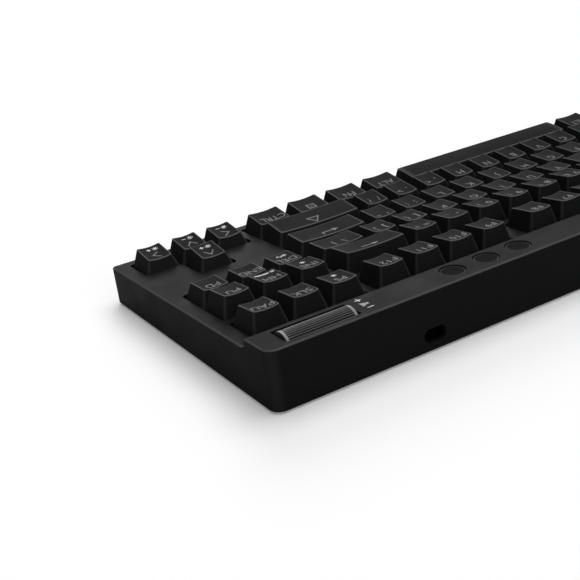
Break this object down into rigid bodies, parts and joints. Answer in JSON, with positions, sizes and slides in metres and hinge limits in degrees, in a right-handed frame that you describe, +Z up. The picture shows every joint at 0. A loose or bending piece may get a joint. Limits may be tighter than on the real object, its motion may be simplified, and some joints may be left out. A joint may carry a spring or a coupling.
{
  "type": "mechanical keyboard",
  "caption": "Compact desktop mechanical keyboard with sprung keys, a raised rear strip with a volume roller and round buttons, folding tilt feet and a rear cable socket.",
  "frame": {"origin": "middle of the keyboard's outline, at the level of the surface that it stands on", "axes": "+X along the keyboard to the right-hand side of the person typing, +Y from the front edge to the rear edge, +Z up"},
  "size_m": [0.3626, 0.1508, 0.0313],
  "materials": {
    "shell": "fine moulded texture, satin",
    "keycap": "fine matt texture, a little worn smooth on top",
    "tray": "moulded texture",
    "coated_steel": "powder coated",
    "board": "solder mask",
    "control": "satin",
    "steel": "bright",
    "rubber": "matt"
  },
  "bodies": {
    "case": {"top_cover": "shell", "bottom_tray": "tray", "switch_plate": "coated_steel", "circuit_board": "board", "usb_socket": "steel", "wheel_bracket": "steel", "wheel_encoder": "tray", "rubber_foot_front_left": "rubber", "rubber_foot_front_right": "rubber", "rubber_foot_rear_left": "rubber", "rubber_foot_rear_right": "rubber"},
    "key_alt_left": {"key_alt_left": "keycap"},
    "key_alt_right": {"key_alt_right": "keycap"},
    "key_backslash": {"key_backslash": "keycap"},
    "key_backspace": {"key_backspace": "keycap"},
    "key_caps_lock": {"key_caps_lock": "keycap"},
    "key_control_left": {"key_control_left": "keycap"},
    "key_control_right": {"key_control_right": "keycap"},
    "key_delete": {"key_delete": "keycap"},
    "key_down": {"key_down": "keycap"},
    "key_end": {"key_end": "keycap"},
    "key_enter": {"key_enter": "keycap"},
    "key_escape": {"key_escape": "keycap"},
    "key_function": {"key_function": "keycap"},
    "key_home": {"key_home": "keycap"},
    "key_insert": {"key_insert": "keycap"},
    "key_left": {"key_left": "keycap"},
    "key_menu": {"key_menu": "keycap"},
    "key_page_down": {"key_page_down": "keycap"},
    "key_page_up": {"key_page_up": "keycap"},
    "key_pause": {"key_pause": "keycap"},
    "key_print_screen": {"key_print_screen": "keycap"},
    "key_right": {"key_right": "keycap"},
    "key_scroll_lock": {"key_scroll_lock": "keycap"},
    "key_shift_left": {"key_shift_left": "keycap"},
    "key_shift_right": {"key_shift_right": "keycap"},
    "key_space": {"key_space": "keycap"},
    "key_system": {"key_system": "keycap"},
    "key_tab": {"key_tab": "keycap"},
    "key_up": {"key_up": "keycap"},
    "keys_a_to_quote": {"keys_a_to_quote": "keycap"},
    "keys_f1_to_f4": {"keys_f1_to_f4": "keycap"},
    "keys_f5_to_f8": {"keys_f5_to_f8": "keycap"},
    "keys_f9_to_f12": {"keys_f9_to_f12": "keycap"},
    "keys_number_row": {"keys_number_row": "keycap"},
    "keys_q_to_bracket": {"keys_q_to_bracket": "keycap"},
    "keys_z_to_slash": {"keys_z_to_slash": "keycap"},
    "wire_backspace": {"wire_backspace": "steel"},
    "wire_enter": {"wire_enter": "steel"},
    "wire_shift_left": {"wire_shift_left": "steel"},
    "wire_shift_right": {"wire_shift_right": "steel"},
    "wire_space": {"wire_space": "steel"},
    "volume_wheel": {"volume_wheel": "control", "wheel_shaft": "steel"},
    "round_button_1": {"round_button_1": "control"},
    "round_button_2": {"round_button_2": "control"},
    "round_button_3": {"round_button_3": "control"},
    "tilt_foot_left": {"tilt_foot_left": "tray"},
    "tilt_foot_right": {"tilt_foot_right": "tray"}
  },
  "joints": [
    {"name": "key_alt_left_press", "type": "slide", "parent": "case", "child": "key_alt_left", "axis": [0, 0.0244, -0.9997], "range_m": [0, 0.004], "stiffness_N_per_m": 50, "springref_m": -0.009},
    {"name": "key_alt_right_press", "type": "slide", "parent": "case", "child": "key_alt_right", "axis": [0, 0.0244, -0.9997], "range_m": [0, 0.004], "stiffness_N_per_m": 50, "springref_m": -0.009},
    {"name": "key_backslash_press", "type": "slide", "parent": "case", "child": "key_backslash", "axis": [0, 0.0244, -0.9997], "range_m": [0, 0.004], "stiffness_N_per_m": 50, "springref_m": -0.009},
    {"name": "key_backspace_press", "type": "slide", "parent": "case", "child": "key_backspace", "axis": [0, 0.0244, -0.9997], "range_m": [0, 0.004], "stiffness_N_per_m": 50, "springref_m": -0.009},
    {"name": "key_caps_lock_press", "type": "slide", "parent": "case", "child": "key_caps_lock", "axis": [0, 0.0244, -0.9997], "range_m": [0, 0.004], "stiffness_N_per_m": 50, "springref_m": -0.009},
    {"name": "key_control_left_press", "type": "slide", "parent": "case", "child": "key_control_left", "axis": [0, 0.0244, -0.9997], "range_m": [0, 0.004], "stiffness_N_per_m": 50, "springref_m": -0.009},
    {"name": "key_control_right_press", "type": "slide", "parent": "case", "child": "key_control_right", "axis": [0, 0.0244, -0.9997], "range_m": [0, 0.004], "stiffness_N_per_m": 50, "springref_m": -0.009},
    {"name": "key_delete_press", "type": "slide", "parent": "case", "child": "key_delete", "axis": [0, 0.0244, -0.9997], "range_m": [0, 0.004], "stiffness_N_per_m": 50, "springref_m": -0.009},
    {"name": "key_down_press", "type": "slide", "parent": "case", "child": "key_down", "axis": [0, 0.0244, -0.9997], "range_m": [0, 0.004], "stiffness_N_per_m": 50, "springref_m": -0.009},
    {"name": "key_end_press", "type": "slide", "parent": "case", "child": "key_end", "axis": [0, 0.0244, -0.9997], "range_m": [0, 0.004], "stiffness_N_per_m": 50, "springref_m": -0.009},
    {"name": "key_enter_press", "type": "slide", "parent": "case", "child": "key_enter", "axis": [0, 0.0244, -0.9997], "range_m": [0, 0.004], "stiffness_N_per_m": 50, "springref_m": -0.009},
    {"name": "key_escape_press", "type": "slide", "parent": "case", "child": "key_escape", "axis": [0, 0.0244, -0.9997], "range_m": [0, 0.004], "stiffness_N_per_m": 50, "springref_m": -0.009},
    {"name": "key_function_press", "type": "slide", "parent": "case", "child": "key_function", "axis": [0, 0.0244, -0.9997], "range_m": [0, 0.004], "stiffness_N_per_m": 50, "springref_m": -0.009},
    {"name": "key_home_press", "type": "slide", "parent": "case", "child": "key_home", "axis": [0, 0.0244, -0.9997], "range_m": [0, 0.004], "stiffness_N_per_m": 50, "springref_m": -0.009},
    {"name": "key_insert_press", "type": "slide", "parent": "case", "child": "key_insert", "axis": [0, 0.0244, -0.9997], "range_m": [0, 0.004], "stiffness_N_per_m": 50, "springref_m": -0.009},
    {"name": "key_left_press", "type": "slide", "parent": "case", "child": "key_left", "axis": [0, 0.0244, -0.9997], "range_m": [0, 0.004], "stiffness_N_per_m": 50, "springref_m": -0.009},
    {"name": "key_menu_press", "type": "slide", "parent": "case", "child": "key_menu", "axis": [0, 0.0244, -0.9997], "range_m": [0, 0.004], "stiffness_N_per_m": 50, "springref_m": -0.009},
    {"name": "key_page_down_press", "type": "slide", "parent": "case", "child": "key_page_down", "axis": [0, 0.0244, -0.9997], "range_m": [0, 0.004], "stiffness_N_per_m": 50, "springref_m": -0.009},
    {"name": "key_page_up_press", "type": "slide", "parent": "case", "child": "key_page_up", "axis": [0, 0.0244, -0.9997], "range_m": [0, 0.004], "stiffness_N_per_m": 50, "springref_m": -0.009},
    {"name": "key_pause_press", "type": "slide", "parent": "case", "child": "key_pause", "axis": [0, 0.0244, -0.9997], "range_m": [0, 0.004], "stiffness_N_per_m": 50, "springref_m": -0.009},
    {"name": "key_print_screen_press", "type": "slide", "parent": "case", "child": "key_print_screen", "axis": [0, 0.0244, -0.9997], "range_m": [0, 0.004], "stiffness_N_per_m": 50, "springref_m": -0.009},
    {"name": "key_right_press", "type": "slide", "parent": "case", "child": "key_right", "axis": [0, 0.0244, -0.9997], "range_m": [0, 0.004], "stiffness_N_per_m": 50, "springref_m": -0.009},
    {"name": "key_scroll_lock_press", "type": "slide", "parent": "case", "child": "key_scroll_lock", "axis": [0, 0.0244, -0.9997], "range_m": [0, 0.004], "stiffness_N_per_m": 50, "springref_m": -0.009},
    {"name": "key_shift_left_press", "type": "slide", "parent": "case", "child": "key_shift_left", "axis": [0, 0.0244, -0.9997], "range_m": [0, 0.004], "stiffness_N_per_m": 50, "springref_m": -0.009},
    {"name": "key_shift_right_press", "type": "slide", "parent": "case", "child": "key_shift_right", "axis": [0, 0.0244, -0.9997], "range_m": [0, 0.004], "stiffness_N_per_m": 50, "springref_m": -0.009},
    {"name": "key_space_press", "type": "slide", "parent": "case", "child": "key_space", "axis": [0, 0.0244, -0.9997], "range_m": [0, 0.004], "stiffness_N_per_m": 50, "springref_m": -0.009},
    {"name": "key_system_press", "type": "slide", "parent": "case", "child": "key_system", "axis": [0, 0.0244, -0.9997], "range_m": [0, 0.004], "stiffness_N_per_m": 50, "springref_m": -0.009},
    {"name": "key_tab_press", "type": "slide", "parent": "case", "child": "key_tab", "axis": [0, 0.0244, -0.9997], "range_m": [0, 0.004], "stiffness_N_per_m": 50, "springref_m": -0.009},
    {"name": "key_up_press", "type": "slide", "parent": "case", "child": "key_up", "axis": [0, 0.0244, -0.9997], "range_m": [0, 0.004], "stiffness_N_per_m": 50, "springref_m": -0.009},
    {"name": "keys_a_to_quote_press", "type": "slide", "parent": "case", "child": "keys_a_to_quote", "axis": [0, 0.0244, -0.9997], "range_m": [0, 0.004], "stiffness_N_per_m": 550, "springref_m": -0.009},
    {"name": "keys_f1_to_f4_press", "type": "slide", "parent": "case", "child": "keys_f1_to_f4", "axis": [0, 0.0244, -0.9997], "range_m": [0, 0.004], "stiffness_N_per_m": 200, "springref_m": -0.009},
    {"name": "keys_f5_to_f8_press", "type": "slide", "parent": "case", "child": "keys_f5_to_f8", "axis": [0, 0.0244, -0.9997], "range_m": [0, 0.004], "stiffness_N_per_m": 200, "springref_m": -0.009},
    {"name": "keys_f9_to_f12_press", "type": "slide", "parent": "case", "child": "keys_f9_to_f12", "axis": [0, 0.0244, -0.9997], "range_m": [0, 0.004], "stiffness_N_per_m": 200, "springref_m": -0.009},
    {"name": "keys_number_row_press", "type": "slide", "parent": "case", "child": "keys_number_row", "axis": [0, 0.0244, -0.9997], "range_m": [0, 0.004], "stiffness_N_per_m": 650, "springref_m": -0.009},
    {"name": "keys_q_to_bracket_press", "type": "slide", "parent": "case", "child": "keys_q_to_bracket", "axis": [0, 0.0244, -0.9997], "range_m": [0, 0.004], "stiffness_N_per_m": 600, "springref_m": -0.009},
    {"name": "keys_z_to_slash_press", "type": "slide", "parent": "case", "child": "keys_z_to_slash", "axis": [0, 0.0244, -0.9997], "range_m": [0, 0.004], "stiffness_N_per_m": 500, "springref_m": -0.009},
    {"name": "wire_backspace_turn", "type": "hinge", "parent": "case", "child": "wire_backspace", "pos_m": [0.0927, 0.00863, 0.01184], "axis": [1, 0, 0], "range_deg": [-29.5, 0]},
    {"name": "wire_enter_turn", "type": "hinge", "parent": "case", "child": "wire_enter", "pos_m": [0.09032, -0.02946, 0.01091], "axis": [1, 0, 0], "range_deg": [-29.5, 0]},
    {"name": "wire_shift_left_turn", "type": "hinge", "parent": "case", "child": "wire_shift_left", "pos_m": [-0.15257, -0.04851, 0.01045], "axis": [1, 0, 0], "range_deg": [-29.5, 0]},
    {"name": "wire_shift_right_turn", "type": "hinge", "parent": "case", "child": "wire_shift_right", "pos_m": [0.08556, -0.04851, 0.01045], "axis": [1, 0, 0], "range_deg": [-29.5, 0]},
    {"name": "wire_space_turn", "type": "hinge", "parent": "case", "child": "wire_space", "pos_m": [-0.04303, -0.06755, 0.00998], "axis": [1, 0, 0], "range_deg": [-29.5, 0]},
    {"name": "volume_wheel_turn", "type": "hinge", "parent": "case", "child": "volume_wheel", "pos_m": [0.1537, 0.06591, 0.02255], "axis": [1, 0, 0], "continuous": true},
    {"name": "round_button_1_press", "type": "slide", "parent": "case", "child": "round_button_1", "axis": [0, 0.0244, -0.9997], "range_m": [0, 0.0006], "stiffness_N_per_m": 1500, "springref_m": -0.0003},
    {"name": "round_button_2_press", "type": "slide", "parent": "case", "child": "round_button_2", "axis": [0, 0.0244, -0.9997], "range_m": [0, 0.0006], "stiffness_N_per_m": 1500, "springref_m": -0.0003},
    {"name": "round_button_3_press", "type": "slide", "parent": "case", "child": "round_button_3", "axis": [0, 0.0244, -0.9997], "range_m": [0, 0.0006], "stiffness_N_per_m": 1500, "springref_m": -0.0003},
    {"name": "tilt_foot_left_fold", "type": "hinge", "parent": "case", "child": "tilt_foot_left", "pos_m": [-0.1333, 0.06239, 0.0032], "axis": [1, 0, 0], "range_deg": [0, 95]},
    {"name": "tilt_foot_right_fold", "type": "hinge", "parent": "case", "child": "tilt_foot_right", "pos_m": [0.1333, 0.06239, 0.0032], "axis": [1, 0, 0], "range_deg": [0, 95]}
  ],
  "couplings": [
    {"joint": "wire_backspace_turn", "follows": "key_backspace_press", "rad_per_m": -127.85},
    {"joint": "wire_enter_turn", "follows": "key_enter_press", "rad_per_m": -127.85},
    {"joint": "wire_shift_left_turn", "follows": "key_shift_left_press", "rad_per_m": -127.85},
    {"joint": "wire_shift_right_turn", "follows": "key_shift_right_press", "rad_per_m": -127.85},
    {"joint": "wire_space_turn", "follows": "key_space_press", "rad_per_m": -127.85}
  ]
}
